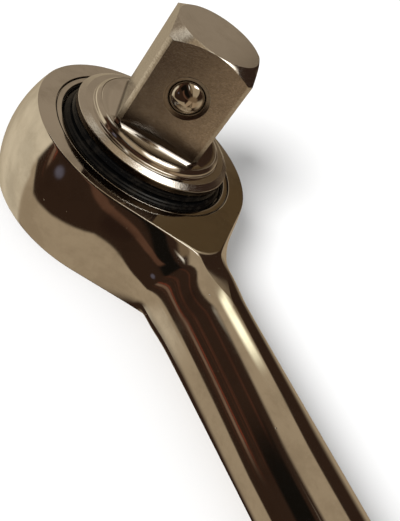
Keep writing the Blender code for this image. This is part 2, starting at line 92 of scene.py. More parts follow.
# Drive.
SQUARE = 19.05
HUB_TOP = 26.5
SQUARE_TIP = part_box("drive_gear")[1][2] / MM
SQUARE_END_RADIUS = 9.45
SQUARE_CHAMFER = 2.1
CORNER_RADIUS = 12.75
FOOT_WIDTH = 0.68             # bevel where the square meets the hub
FOOT_HEIGHT = 0.42
DRIVE_TURN = math.radians(-36.07)
BALL_HEIGHT = HUB_TOP + 12.4
BALL_RADIUS = 3.97
BALL_SINK = 2.15
BALL_HOLE_FLOOR = -2.0
STAKE_RADIUS = 4.55           # outside of the staked ring round the ball
BAND_TOP = 25.0               # bevelled band on the collar
BAND_RADIUS = 16.8            # where the band starts
BAND_EDGE = 24.2              # height at which the band meets the collar's side
COLLAR_RADIUS = 18.2
NECK_RADIUS = 17.2            # gear's neck, inside the seals
FLANGE_RADIUS = 21.1
FLANGE_TOP = 16.1
FLANGE_BOTTOM = 14.3
TEETH = 24
GEAR_TIP_RADIUS = 15.2
GEAR_ROOT_RADIUS = 13.5
GEAR_BOTTOM = 5.8
GEAR_TOP = 14.5
TIP_HALF_ANGLE = math.radians(2.2)
GAP_HALF_ANGLE = math.radians(1.9)

# Bore, pocket and selector.
COUNTERBORE_RADIUS = 21.4
COUNTERBORE_FLOOR = 14.0
GEAR_BORE_RADIUS = 15.7
BORE_FLOOR = 4.4
SNAP_HEIGHT = 19.3            # middle of the snap ring's wire
SNAP_RADIUS = 21.25
SNAP_WIRE = 0.5
SNAP_GROOVE_RADIUS = 22.1
SNAP_GROOVE_HALF = 0.75
PAWL_X = 18.4
PAWL_BACK_X = 21.6
SPINDLE_X = 26.5
SPINDLE_BORE = 4.0
PLUNGER_HEIGHT = 9.2
LEVER_SWING = math.radians(28.0)
LEVER_SEAT_RADIUS = 4.7
LEVER_REACH = 13.2
LEVER_BOTTOM = 0.3
LEVER_TOP = 2.2
LEVER_RECESS = 2.5
FINGER_ROOM = 0.6

TURN_STEPS = 180              # facets round a fine turned piece
FLAT_ANGLE = 32.0             # edges steeper than this many degrees stay sharp


def add_camera():
    data = bpy.data.cameras.new("camera")
    data.lens = CAMERA_LENS
    data.sensor_width = 36.0
    data.clip_start = 0.005
    camera = bpy.data.objects.new("camera", data)
    bpy.context.scene.collection.objects.link(camera)
    stand = Vector(CAMERA_AT) * MM
    look = Vector(CAMERA_TARGET) * MM - stand
    aim = look.to_track_quat("-Z", "Y").to_matrix().to_4x4()
    camera.matrix_world = Matrix.Translation(stand) @ aim @ Matrix.Rotation(CAMERA_ROLL, 4, "Z")
    bpy.context.scene.camera = camera


add_camera()


# Mesh tools.

def smooth_step(value):
    value = min(max(value, 0.0), 1.0)
    return value * value * (3 - 2 * value)


def polar(radius, angle):
    return (radius * math.cos(angle), radius * math.sin(angle))


def arc(centre_x, centre_y, radius, start, end, count):
    angles = [start + (end - start) * i / (count - 1) for i in range(count)]
    return [(centre_x + radius * math.cos(a), centre_y + radius * math.sin(a)) for a in angles]


def bend(before, corner, after, size, steps=4):
    """Points of a small curve that rounds a corner off."""
    to_before = before - corner
    to_after = after - corner
    reach = min(size, to_before.length * 0.45, to_after.length * 0.45)
    start = corner + to_before.normalized() * reach
    end = corner + to_after.normalized() * reach
    shares = [k / steps for k in range(steps + 1)]
    return [start * (1 - t) ** 2 + corner * 2 * t * (1 - t) + end * t ** 2 for t in shares]


def eased(corners, closed=False):
    """A profile from (radius, height, rounding) corners, with the corners rounded."""
    count = len(corners)
    points = []
    for i, (x, y, size) in enumerate(corners):
        inner = closed or 0 < i < count - 1
        if size == 0 or not inner:
            points.append(Vector((x, y)))
            continue
        before = Vector(corners[i - 1][:2])
        after = Vector(corners[(i + 1) % count][:2])
        points += bend(before, Vector((x, y)), after, size)
    return points


def as_object(name, shape, sharp=FLAT_ANGLE):
    """A finished bmesh as an object with smooth shading between its sharp edges."""
    bmesh.ops.remove_doubles(shape, verts=shape.verts, dist=0.0000005)
    bmesh.ops.recalc_face_normals(shape, faces=shape.faces)
    mesh = bpy.data.meshes.new(name)
    shape.to_mesh(mesh)
    shape.free()
    mesh.shade_smooth()
    mesh.set_sharp_from_angle(angle=math.radians(sharp))
    made = bpy.data.objects.new(name, mesh)
    bpy.context.scene.collection.objects.link(made)
    return made


def turned(name, profile, steps=TURN_STEPS, closed=False, sharp=FLAT_ANGLE):
    """A solid of revolution about Z from (radius, height) points down its outer side."""
    shape = bmesh.new()
    rows = []
    for radius, height in profile:
        if radius < 0.000001:
            rows.append([shape.verts.new((0, 0, height * MM))] * steps)
            continue
        ring = [polar(radius * MM, 2 * math.pi * i / steps) for i in range(steps)]
        rows.append([shape.verts.new((x, y, height * MM)) for x, y in ring])
    pairs = list(zip(rows, rows[1:]))
    if closed:
        pairs.append((rows[-1], rows[0]))
    for upper, lower in pairs:
        for i in range(steps):
            j = (i + 1) % steps
            corners = [upper[i], lower[i], lower[j], upper[j]]
            distinct = [c for k, c in enumerate(corners) if c not in corners[:k]]
            if len(distinct) > 2:
                shape.faces.new(distinct)
    return as_object(name, shape, sharp)


def prism(name, outline, bottom, top):
    """An outline in the plane, raised between two heights."""
    shape = bmesh.new()
    base = [shape.verts.new((x * MM, y * MM, bottom * MM)) for x, y in outline]
    raised = bmesh.ops.extrude_face_region(shape, geom=[shape.faces.new(base)])
    lifted = [item for item in raised["geom"] if isinstance(item, bmesh.types.BMVert)]
    bmesh.ops.translate(shape, verts=lifted, vec=(0, 0, (top - bottom) * MM))
    return as_object(name, shape)


def rod(name, radius, bottom, top, x=0.0, steps=72):
    made = turned(name, [(0, top), (radius, top), (radius, bottom), (0, bottom)], steps)
    return shifted(made, (x, 0, 0))


def moved(made, matrix):
    made.data.transform(matrix)
    return made


def shifted(made, offset):
    return moved(made, Matrix.Translation(Vector(offset) * MM))


def spun(made, angle):
    return moved(made, Matrix.Rotation(angle, 4, "Z"))


def settle(target):
    """Replaces the mesh by the evaluated one and drops the modifiers."""
    bpy.context.view_layer.update()
    evaluated = target.evaluated_get(bpy.context.evaluated_depsgraph_get())
    mesh = bpy.data.meshes.new_from_object(evaluated)
    target.modifiers.clear()
    target.data = mesh
    return target


def carve(target, operation, *others):
    """Exact booleans with the other solids, which are used up."""
    for other in others:
        step = target.modifiers.new("step", "BOOLEAN")
        step.operation = operation
        step.object = other
        step.solver = "EXACT"
    settle(target)
    for other in others:
        bpy.data.objects.remove(other, do_unlink=True)
    return target


def even_out(target, sharp=FLAT_ANGLE):
    """Shading normals that keep the flats flat beside small roundings."""
    target.data.shade_smooth()
    target.data.set_sharp_from_angle(angle=math.radians(sharp))
    weigh = target.modifiers.new("even", "WEIGHTED_NORMAL")
    weigh.keep_sharp = True
    weigh.weight = 60
    return settle(target)


def bevelled(target, width, angle=30.0, segments=3):
    bevel = target.modifiers.new("bevel", "BEVEL")
    bevel.width = width * MM
    bevel.segments = segments
    bevel.limit_method = "ANGLE"
    bevel.angle_limit = math.radians(angle)
    return settle(target)


# Head and bar.

SIDE_POINTS = 21              # points from the edge of the face to mid height
TOP_POINTS = 8                # points from the middle of the top to its edge
HEAD_ROWS = 84
NECK_ROWS = 70
DOME_ROWS = 10
BAR_ROWS = range(120, int(BAR_END_X - GRIP_LENGTH) - 20, 30)


def flank_at(x):
    """Half width of the neck at mid height, easing into the bar."""
    straight = (HEAD_BULGE_RADIUS - x * math.cos(BULGE_ANGLE)) / math.sin(BULGE_ANGLE)
    above = straight - BAR_RADIUS
    past_head = x - HEAD_BULGE_RADIUS * math.cos(BULGE_ANGLE)
    softness = NECK_FILLET * smooth_step(past_head / NECK_FILLET_RUN)
    return BAR_RADIUS + (above + math.hypot(above, softness)) / 2


def face_edge_at(x):
    """Half width between the two creases that run on from the flat face's edges."""
    straight = (HEAD_FACE_RADIUS - x * math.cos(FACE_ANGLE)) / math.sin(FACE_ANGLE)
    spare = straight - CREASE_HALF_WIDTH
    kept = CREASE_HALF_WIDTH + (spare + math.hypot(spare, CREASE_SOFTNESS)) / 2
    return kept * (1 - smooth_step((x - FACE_TIP_X - 1) / CREASE_RUN))


def top_height(x, y):
    """Height above mid plane of the top of the neck, which falls off past the face's tip."""
    centre = FACE_TIP_X - TIP_RADIUS / math.cos(FACE_ANGLE)
    if math.atan2(abs(y), x - centre) > FACE_ANGLE:
        beyond = x * math.cos(FACE_ANGLE) + abs(y) * math.sin(FACE_ANGLE) - HEAD_FACE_RADIUS
    else:
        beyond = math.hypot(x - centre, y) - TIP_RADIUS
    drop = 1 - math.exp(-max(beyond, 0.0) / TIP_FALL)
    return HALF_THICKNESS - (HALF_THICKNESS - BAR_RADIUS) * drop


def head_stations():
    """Rows of edge point, mid point, half height and roundness, from back to neck."""
    rows = []
    for i in range(HEAD_ROWS):
        share = i / (HEAD_ROWS - 1)
        edge = polar(HEAD_FACE_RADIUS, math.pi - (math.pi - FACE_ANGLE) * share)
        middle = polar(HEAD_BULGE_RADIUS, math.pi - (math.pi - BULGE_ANGLE) * share)
        rows.append((Vector((*edge, 0)), Vector((*middle, 0)), HALF_THICKNESS, 0.0))
    rows[0][0].y = 0.0
    rows[0][1].y = 0.0
    return rows


def neck_stations():
    """The rows on from the head, closer together where the section changes most."""
    start = HEAD_FACE_RADIUS * math.cos(FACE_ANGLE)
    offset = HEAD_BULGE_RADIUS * math.cos(BULGE_ANGLE) - start
    rows = []
    for i in range(1, NECK_ROWS + 1):
        x = start + (NECK_END_X - start) * (i / NECK_ROWS) ** 1.5
        middle_x = x + offset * (1 - smooth_step((x - start) / NECK_RUN))
        edge = Vector((x, face_edge_at(x), 0))
        middle = Vector((middle_x, flank_at(middle_x), 0))
        roundness = smooth_step((x - NECK_ROUND_START_X) / NECK_RUN)
        rows.append((edge, middle, top_height(x, edge.y), roundness))
    return rows


def bar_station(x, radius):
    return (Vector((x, 0, 0)), Vector((x, radius, 0)), radius, 1.0)


def swell_stations(start):
    """The bar swelling to the grip, one row for each millimetre."""
    rows = []
    for i in range(SWELL_LENGTH + 1):
        radius = BAR_RADIUS + (GRIP_RADIUS - BAR_RADIUS) * smooth_step(i / SWELL_LENGTH)
        rows.append(bar_station(start - SWELL_LENGTH + i, radius))
    return rows


def dome_stations(start):
    """The rounded end, closing almost to a point."""
    rows = []
    for i in range(DOME_ROWS + 1):
        angle = DOME_LAST_ANGLE * i / DOME_ROWS
        x = start + DOME_LENGTH * math.sin(angle) / math.sin(DOME_LAST_ANGLE)
        rows.append(bar_station(x, GRIP_RADIUS * math.cos(angle)))
    return rows


def side_curve(edge, middle, height, roundness):
    """From the edge of the face to mid height: a barrel on the head, an arc on the bar."""
    points = []
    for i in range(SIDE_POINTS):
        share = i / (SIDE_POINTS - 1)
        barrel = edge.lerp(middle, 1 - (1 - share) ** 2)
        barrel.z = height * (1 - share)
        angle = share * math.pi / 2
        bow = edge.lerp(middle, math.sin(angle))
        bow.z = height * math.cos(angle)
        points.append(barrel.lerp(bow, roundness))
    return points


def section(edge, middle, height, roundness):
    """Half of a cross section, from the middle of the top round to the middle below."""
    curve = side_curve(edge, middle, height, roundness)
    top = []
    for i in range(TOP_POINTS):
        y = edge.y * i / TOP_POINTS
        top.append(Vector((edge.x, y, top_height(edge.x, y) if edge.y > 0 else height)))
    upper = top + bend(top[-1], curve[0], curve[1], EDGE_ROUND) + curve[1:]
    lower = [Vector((p.x, p.y, -p.z)) for p in reversed(upper[:-1])]
    return upper + lower


def diamond(row, column):
    """Depth share of the knurl at a corner of its net: peaks and grooves in turn."""
    return 0.0 if (row + column) % 2 == 0 else 1.0


def knurl_stations(start, end):
    """Cross sections of the grip whose points alternate between peak and groove."""
    count = 2 * round((end - start) / KNURL_STEP / 2)
    rows = []
    for row in range(count + 1):
        x = start + (end - start) * row / count
        ring = section(*bar_station(x, GRIP_RADIUS))
        fade = 0.0 if row in (0, count) else 1.0
        lead = (len(ring) - 2 * SIDE_POINTS + 1) // 2
        for index, point in enumerate(ring):
            column = min(max(index - lead, 0), 2 * (SIDE_POINTS - 1))
            depth = KNURL_DEPTH * fade * diamond(row, column)
            share = 1 - depth / GRIP_RADIUS
            point.y *= share
            point.z *= share
        rows.append(ring)
    return rows


def body_shell():
    """Half of the body, joined to its mirror image in the plane through the handle."""
    grip_start = BAR_END_X - GRIP_LENGTH
    dome_start = BAR_END_X - DOME_LENGTH
    plain = head_stations() + neck_stations()
    plain += [bar_station(x, BAR_RADIUS) for x in BAR_ROWS] + swell_stations(grip_start)
    rings = [section(*station) for station in plain]
    smooth_until = len(rings)
    rings += knurl_stations(grip_start + PLAIN_START, dome_start - PLAIN_END)
    knurled_until = len(rings)
    rings += [section(*station) for station in dome_stations(dome_start)]
    shape = bmesh.new()
    for side in (1, -1):
        loops = []
        for ring in rings:
            loops.append([shape.verts.new((p.x * MM, p.y * side * MM,
                                           (p.z + HALF_THICKNESS) * MM)) for p in ring])
        for row, (first, second) in enumerate(zip(loops, loops[1:])):
            knurled = smooth_until <= row < knurled_until - 1
            for i in range(len(first) - 1):
                join_cell(shape, (first[i], second[i], second[i + 1], first[i + 1]), knurled)
        shape.faces.new(loops[-1])
    bmesh.ops.remove_doubles(shape, verts=shape.verts, dist=0.000002)
    bmesh.ops.dissolve_degenerate(shape, edges=shape.edges, dist=0.000001)
    return as_object("head_and_bar_finish", shape)


def from_bar_axis(corner):
    return math.hypot(corner.co.y, corner.co.z - HALF_THICKNESS * MM)


def join_cell(shape, corners, knurled):
    """One cell of the net; on the knurl it is split along the groove."""
    if not knurled:
        shape.faces.new(corners)
        return
    a, b, c, d = corners
    if from_bar_axis(a) > from_bar_axis(b):
        shape.faces.new((a, b, d))
        shape.faces.new((b, c, d))
    else:
        shape.faces.new((a, b, c))
        shape.faces.new((a, c, d))


def selector_recess():
    """The round seat of the lever and the fan that its tab sweeps.

    The fan has an even number of points, which keeps them off the body's mirror plane.
    """
    half = LEVER_SWING + math.radians(17)
    opening = math.radians(70)
    outline = arc(SPINDLE_X, 0, LEVER_SEAT_RADIUS + 0.4, -math.pi + opening,
                  math.pi - opening, 41)
    fan = LEVER_REACH + FINGER_ROOM
    return outline + arc(SPINDLE_X, 0, fan, math.pi - half, math.pi + half, 40)


def mirrored(side):
    return side + [(x, -y) for x, y in reversed(side)]


def build_body():
    body = body_shell()
    groove_top = SNAP_HEIGHT + SNAP_GROOVE_HALF
    groove_bottom = SNAP_HEIGHT - SNAP_GROOVE_HALF
    bore = turned("bore", [
        (0, 22), (COUNTERBORE_RADIUS + 1.6, 22), (COUNTERBORE_RADIUS + 0.22, 20.6),
        (COUNTERBORE_RADIUS + 0.12, 20.4), (COUNTERBORE_RADIUS + 0.03, 20.33),
        (COUNTERBORE_RADIUS, 20.22), (COUNTERBORE_RADIUS, groove_top),
        (SNAP_GROOVE_RADIUS, groove_top), (SNAP_GROOVE_RADIUS, groove_bottom),
        (COUNTERBORE_RADIUS, groove_bottom), (COUNTERBORE_RADIUS, COUNTERBORE_FLOOR),
        (GEAR_BORE_RADIUS, COUNTERBORE_FLOOR), (GEAR_BORE_RADIUS, BORE_FLOOR),
        (8.8, BORE_FLOOR), (8.8, 2.7), (0, 2.7)])
    wall = PAWL_BACK_X + 1.5
    pocket = prism("pocket", mirrored([(8.0, 12.4), (wall - 6.4, 12.4), (wall, 9.2)]), 4.7, 14.6)
    window = prism("window", mirrored([(PAWL_BACK_X + 0.6, -5.0), (SPINDLE_X - 1.3, -4.2)]),
                   PLUNGER_HEIGHT - 2.2, PLUNGER_HEIGHT + 2.2)
    recess = prism("recess", selector_recess(), -1.0, LEVER_RECESS)
    spindle_bore = rod("spindle_bore", SPINDLE_BORE, 1.5, 14.9, SPINDLE_X)
    pin_hole = rod("pin_hole", 1.5, 3.1, 5.5, PAWL_X)
    carve(body, "DIFFERENCE", bore, pocket, window, recess, spindle_bore, pin_hole)
    return even_out(body)


# The drive: ratchet gear, flange, collar, hub and square in one piece.

def gear_outline(phase):
    pitch = 2 * math.pi / TEETH
    points = []
    for tooth in range(TEETH):
        middle = phase + tooth * pitch
        for radius, turn in ((GEAR_ROOT_RADIUS, -pitch / 2 + GAP_HALF_ANGLE),
                             (GEAR_TIP_RADIUS, -TIP_HALF_ANGLE),
                             (GEAR_TIP_RADIUS, TIP_HALF_ANGLE),
                             (GEAR_ROOT_RADIUS, pitch / 2 - GAP_HALF_ANGLE)):
            points.append(polar(radius, middle + turn))
    return points


def drive_square():
    half = SQUARE / 2
    blank = prism("square", [(-half, -half), (half, -half), (half, half), (-half, half)],
                  18.0, SQUARE_TIP + 2)
    envelope = turned("envelope", [
        (0, SQUARE_TIP), (SQUARE_END_RADIUS, SQUARE_TIP),
        (CORNER_RADIUS, SQUARE_TIP - SQUARE_CHAMFER), (CORNER_RADIUS, 19.0), (0, 19.0)], 240)
    carve(blank, "INTERSECT", envelope)
    return bevelled(blank, 0.2, 28.0, 2)


def square_foot():
    """A bevelled step round the foot of the square, inside the envelope of its corners."""
    inside = 1.0
    steps = ((SQUARE / 2 - inside, HUB_TOP + FOOT_HEIGHT * (1 + inside / FOOT_WIDTH)),
             (SQUARE / 2 + FOOT_WIDTH, HUB_TOP), (SQUARE / 2 + FOOT_WIDTH, HUB_TOP - 1.5))
    shape = bmesh.new()
    rings = []
    for half, height in steps:
        corners = ((-half, -half), (half, -half), (half, half), (-half, half))
        rings.append([shape.verts.new((x * MM, y * MM, height * MM)) for x, y in corners])
    shape.faces.new(rings[0])
    shape.faces.new(rings[-1])
    for upper, lower in zip(rings, rings[1:]):
        for i in range(4):
            j = (i + 1) % 4
            shape.faces.new((upper[i], lower[i], lower[j], upper[j]))
    foot = as_object("square_foot", shape)
    envelope = rod("foot_envelope", CORNER_RADIUS, HUB_TOP - 1.2, HUB_TOP + 3)
    return carve(foot, "INTERSECT", envelope)


def ball_hole():
    """Turned cutter along the normal of the ball's flat, with a staked lip."""
    half = SQUARE / 2
    hole = turned("ball_hole", [
        (0, half + 1.0), (4.75, half + 1.0), (4.72, half + 0.03), (4.62, half - 0.05),
        (4.45, half - 0.1), (3.98, half - 0.14), (3.86, half - 0.18), (3.78, half - 0.28),
        (3.72, half - 0.4), (3.85, half - 0.75), (BALL_RADIUS + 0.25, half - 1.2),
        (BALL_RADIUS + 0.25, BALL_HOLE_FLOOR), (0, BALL_HOLE_FLOOR)], 144)
    moved(hole, Matrix.Rotation(math.pi / 2, 4, "Y"))
    return shifted(hole, (0, 0, BALL_HEIGHT))


def build_drive():
    gear = turned("drive_gear_finish", eased([
        (0, HUB_TOP, 0), (13.85, HUB_TOP, 0.05), (13.92, HUB_TOP - 0.1, 0.03),
        (14.05, HUB_TOP - 0.1, 0.03), (14.15, HUB_TOP - 0.02, 0.06), (15.0, HUB_TOP - 0.6, 0.3),
        (15.15, BAND_TOP, 0.25), (BAND_RADIUS, BAND_TOP, 0.08),
        (COLLAR_RADIUS, BAND_EDGE, 0.12), (COLLAR_RADIUS, 22.85, 0.15),
        (NECK_RADIUS, 22.7, 0.1), (NECK_RADIUS, FLANGE_TOP, 0.1),
        (FLANGE_RADIUS, FLANGE_TOP, 0.15), (FLANGE_RADIUS, FLANGE_BOTTOM, 0.15),
        (13.0, FLANGE_BOTTOM, 0), (13.0, 6.2, 0),
        (8.5, 6.2, 0.1), (8.5, 3.0, 0.3), (0, 3.0, 0)]), 240)
    teeth = bevelled(prism("teeth", gear_outline(-DRIVE_TURN), GEAR_BOTTOM, GEAR_TOP), 0.15, 20, 2)
    carve(gear, "UNION", teeth, drive_square(), square_foot())
    carve(gear, "DIFFERENCE", ball_hole())
    even_out(gear)
    return spun(gear, DRIVE_TURN)


def build_ball():
    shape = bmesh.new()
    bmesh.ops.create_icosphere(shape, subdivisions=5, radius=BALL_RADIUS * MM)
    ball = as_object("detent_ball_finish", shape)
    shifted(ball, (SQUARE / 2 - BALL_SINK, 0, BALL_HEIGHT))
    return spun(ball, DRIVE_TURN)


# Rings and seals round the collar.

def build_rings():
    cover = turned("cover_ring_finish", eased([
        (21.12, 20.27, 0.1), (21.12, 19.95, 0.05), (20.6, 19.95, 0.05), (20.6, 18.65, 0.05),
        (21.1, 18.65, 0.05), (21.1, 17.5, 0.1), (19.6, 17.5, 0.1), (19.6, 19.6, 0.1),
        (20.05, 20.27, 0.08)], closed=True), 240, closed=True)
    lower = turned("lower_seal_finish", eased([
        (18.45, 20.7, 0.1), (18.95, 20.45, 0.14), (18.72, 20.15, 0.1), (19.28, 19.85, 0.14),
        (19.0, 19.55, 0.1), (19.4, 19.2, 0.14), (19.4, 17.6, 0.1), (17.5, 17.6, 0.1),
        (17.5, 20.7, 0.1)], closed=True), 180, closed=True, sharp=60)
    upper = turned("upper_seal_finish", eased([
        (17.95, 22.4, 0.1), (18.2, 22.12, 0.14), (17.98, 21.8, 0.1), (18.3, 21.4, 0.16),
        (17.95, 21.0, 0.1), (17.4, 21.0, 0.1), (17.4, 22.4, 0.1)], closed=True), 180,
        closed=True, sharp=60)
    return cover, lower, upper


def wire(name, points, radius, sides=20):
    """A round wire through points that lie in a plane of constant height."""
    shape = bmesh.new()
    rings = []
    for i, here in enumerate(points):
        ahead = points[min(i + 1, len(points) - 1)]
        behind = points[max(i - 1, 0)]
        along = (ahead - behind).normalized()
        across = along.cross(Vector((0, 0, 1)))
        turns = [2 * math.pi * k / sides for k in range(sides)]
        rings.append([shape.verts.new((here + across * radius * math.cos(t)
                                       + Vector((0, 0, radius * math.sin(t)))) * MM)
                      for t in turns])
    for first, second in zip(rings, rings[1:]):
        for k in range(sides):
            j = (k + 1) % sides
            shape.faces.new((first[k], second[k], second[j], first[j]))
    shape.faces.new(rings[0])
    shape.faces.new(rings[-1])
    return as_object(name, shape)


def build_snap_ring():
    gap = math.radians(4)
    route = arc(0, 0, SNAP_RADIUS, math.pi / 2 + gap, math.pi * 5 / 2 - gap, 200)
    points = [Vector((x, y, SNAP_HEIGHT)) for x, y in route]
    return wire("cover_snap_ring_finish", points, SNAP_WIRE)


# Reversing lever and its screw, on the back of the head.

def lever_outline():
    half = math.radians(13)
    root = math.radians(35)
    seat = arc(0, 0, LEVER_SEAT_RADIUS, -math.pi + root, math.pi - root, 61)
    return seat + arc(0, 0, LEVER_REACH, math.pi - half, math.pi + half, 15)


def build_lever():
    lever = bevelled(prism("reversing_lever_finish", lever_outline(), LEVER_BOTTOM, LEVER_TOP),
                     0.3, 40, 3)
    through = rod("through", 1.5, -1, 4)
    sink = turned("sink", [(0, 1.3), (1.5, 1.3), (2.9, 0.3), (3.1, 0.2), (3.1, -1), (0, -1)])
    tang = prism("tang", [(-2.7, -2.7), (2.7, -2.7), (2.7, 2.7), (-2.7, 2.7)], 1.45, 4.0)
    grooves = []
    for i in range(5):
        groove = turned("groove", [(0, 4), (0.32, 4), (0.32, -4), (0, -4)], 24)
        moved(groove, Matrix.Rotation(math.pi / 2, 4, "X"))
        grooves.append(shifted(groove, (-LEVER_REACH + 1.5 + 0.95 * i, 0, LEVER_BOTTOM - 0.02)))
    carve(lever, "DIFFERENCE", through, sink, tang, *grooves)
    even_out(lever)
    spun(lever, -LEVER_SWING)
    return shifted(lever, (SPINDLE_X, 0, 0))


def build_screw():
    screw = turned("lever_screw_finish", eased([
        (0, 6.2, 0), (0.9, 6.2, 0), (1.15, 5.95, 0.05), (1.15, 1.5, 0.1), (2.55, 0.5, 0.12),
        (2.2, 0.4, 0.1), (0, 0.4, 0)]), 96)
    slot = prism("slot", [(-0.35, -3), (0.35, -3), (0.35, 3), (-0.35, 3)], 0, 0.95)
    carve(screw, "DIFFERENCE", slot)
    even_out(screw)
    spun(screw, -LEVER_SWING)
    return shifted(screw, (SPINDLE_X, 0, 0))


# Materials. Object coordinates are metres, so scales of pattern are given per millimetre.

class Paint:
    """A small helper that adds and links nodes of one material or world."""

    def __init__(self, owner):
        owner.use_nodes = True
        self.tree = owner.node_tree
        self.tree.nodes.clear()

    def add(self, kind, inputs=(), **settings):
        node = self.tree.nodes.new("ShaderNode" + kind)
        for name, value in settings.items():
            setattr(node, name, value)
        for key, value in dict(inputs).items():
            self.feed(node.inputs[key], value)
        return node

    def feed(self, socket, value):
        if isinstance(value, bpy.types.NodeSocket):
            self.tree.links.new(value, socket)
        else:
            socket.default_value = value

    def math(self, operation, *values):
        return self.add("Math", enumerate(values), operation=operation).outputs[0]

    def plus(self, first, second):
        return self.math("ADD", first, second)

    def minus(self, first, second):
        return self.math("SUBTRACT", first, second)

    def times(self, *factors):
        product = factors[0]
        for factor in factors[1:]:
            product = self.math("MULTIPLY", product, factor)
        return product

    def distance(self, first, second):
        """How far from zero a point with two coordinates is."""
        return self.math("SQRT", self.plus(self.times(first, first), self.times(second, second)))

    def spread(self, value, low, high, new_low=0.0, new_high=1.0):
        """Maps a value from one range to another, smoothly and clamped."""
        node = self.add("MapRange", {"Value": value, "From Min": low, "From Max": high,
                                     "To Min": new_low, "To Max": new_high},
                        interpolation_type="SMOOTHSTEP")
        return node.outputs["Result"]

    def inside(self, value, start, full, fade, end):
        """One between two values, with a soft edge on each side."""
        return self.times(self.spread(value, start, full), self.spread(value, end, fade))

    def window(self, angle, *edges):
        """The same between angles in degrees."""
        return self.inside(angle, *map(math.radians, edges))

    def blend(self, share, first, second, kind="MIX"):
        node = self.add("Mix", data_type="RGBA", blend_type=kind)
        self.feed(node.inputs[0], share)
        self.feed(node.inputs[6], first)
        self.feed(node.inputs[7], second)
        return node.outputs[2]

    def dimmed(self, colour, strength):
        """A colour times a single value."""
        grey = self.add("CombineColor", {0: strength, 1: strength, 2: strength}).outputs[0]
        return self.blend(1.0, colour, grey, "MULTIPLY")

    def place(self, scale=(1, 1, 1)):
        """Object coordinates in millimetres, stretched by a factor for each axis."""
        where = self.add("TexCoord").outputs["Object"]
        factors = tuple(value / MM for value in scale)
        return self.add("Mapping", {"Vector": where, "Scale": factors}).outputs[0]

    def split(self, vector):
        return self.add("SeparateXYZ", {"Vector": vector}).outputs

    def noise(self, where, scale, detail=3.0, roughness=0.55):
        node = self.add("TexNoise", {"Vector": where, "Scale": scale, "Detail": detail,
                                     "Roughness": roughness})
        return node.outputs["Fac"]

    def lines(self, value, scale, row=0.0):
        """Noise that changes with one value only, so that it draws lines."""
        where = self.add("CombineXYZ", {"X": value, "Y": row}).outputs[0]
        return self.noise(where, scale, detail=2.0)

    def bump(self, height, depth, before=None):
        """Bump whose full height is a depth in millimetres."""
        node = self.add("Bump", {"Height": height, "Distance": depth * MM, "Strength": 1.0})
        if before is not None:
            self.feed(node.inputs["Normal"], before)
        return node.outputs[0]

    def finish(self, colour, roughness, metallic, normal=None, **more):
        shader = self.add("BsdfPrincipled", {"Base Color": colour, "Roughness": roughness,
                                             "Metallic": metallic})
        for name, value in more.items():
            self.feed(shader.inputs[name.replace("_", " ")], value)
        if normal is not None:
            self.feed(shader.inputs["Normal"], normal)
        self.add("OutputMaterial", {"Surface": shader.outputs[0]})


def tone(red, green, blue):
    """A display colour from 0 to 255 as a linear colour."""
    def linear(value):
        value = value / 255
        return value / 12.92 if value <= 0.04045 else ((value + 0.055) / 1.055) ** 2.4
    return (linear(red), linear(green), linear(blue), 1.0)


CHROME = (0.87, 0.86, 0.84, 1.0)
CHROME_DULL = (0.74, 0.72, 0.69, 1.0)
CHROME_WORN = (0.50, 0.46, 0.42, 1.0)
PIT_DARK = (0.10, 0.085, 0.07, 1.0)
# Painted shade: darkens the foot of the square, the collar under the band and the ring round the
# ball.
PAINTED_SHADE_DARK = (0.09, 0.07, 0.055, 1.0)
STEEL = (0.44, 0.43, 0.41, 1.0)
STEEL_DARK = (0.22, 0.20, 0.18, 1.0)
WIRE = (0.50, 0.48, 0.45, 1.0)
WIRE_DARK = (0.27, 0.25, 0.23, 1.0)
BRONZE = (0.62, 0.43, 0.20, 1.0)
BRONZE_DARK = (0.36, 0.22, 0.09, 1.0)
RUBBER = (0.002, 0.002, 0.002, 1.0)
RUBBER_DUSTY = (0.010, 0.008, 0.006, 1.0)
PAPER = (0.88, 0.88, 0.88, 1.0)
PAPER_PALE = (0.92, 0.92, 0.92, 1.0)


def chrome(name, gloss=0.06, wave=0.006, pits=0.5):
    """Polished plating: soft waviness, faint haze, fine wipe marks and a few pits."""
    material = bpy.data.materials.new(name)
    paint = Paint(material)
    where = paint.place()
    along = paint.place((0.06, 1.0, 1.0))
    haze = paint.noise(where, scale=0.11, detail=6.0, roughness=0.65)
    wipes = paint.noise(along, scale=3.2, detail=5.0, roughness=0.7)
    rough = paint.plus(paint.spread(haze, 0.35, 0.75, gloss * 0.7, gloss * 1.7),
                       paint.times(wipes, gloss * 0.5))
    cells = paint.add("TexVoronoi", {"Vector": where, "Scale": 0.55, "Randomness": 1.0})
    seldom = paint.math("GREATER_THAN", paint.noise(where, scale=0.33, detail=1.0), 0.62)
    spot = paint.times(paint.spread(cells.outputs["Distance"], 0.10, 0.05), seldom)
    colour = paint.blend(paint.spread(haze, 0.42, 0.66), CHROME, CHROME_DULL)
    colour = paint.blend(paint.times(spot, pits), colour, PIT_DARK)
    swell = paint.bump(paint.noise(where, scale=0.16, detail=1.0), depth=wave)
    fine = paint.bump(paint.noise(along, scale=5.0), depth=0.0004, before=swell)
    pit = paint.bump(paint.times(spot, -1.0), depth=0.02, before=fine)
    paint.finish(colour, paint.plus(rough, paint.times(spot, 0.3)), 1.0, pit)
    return material


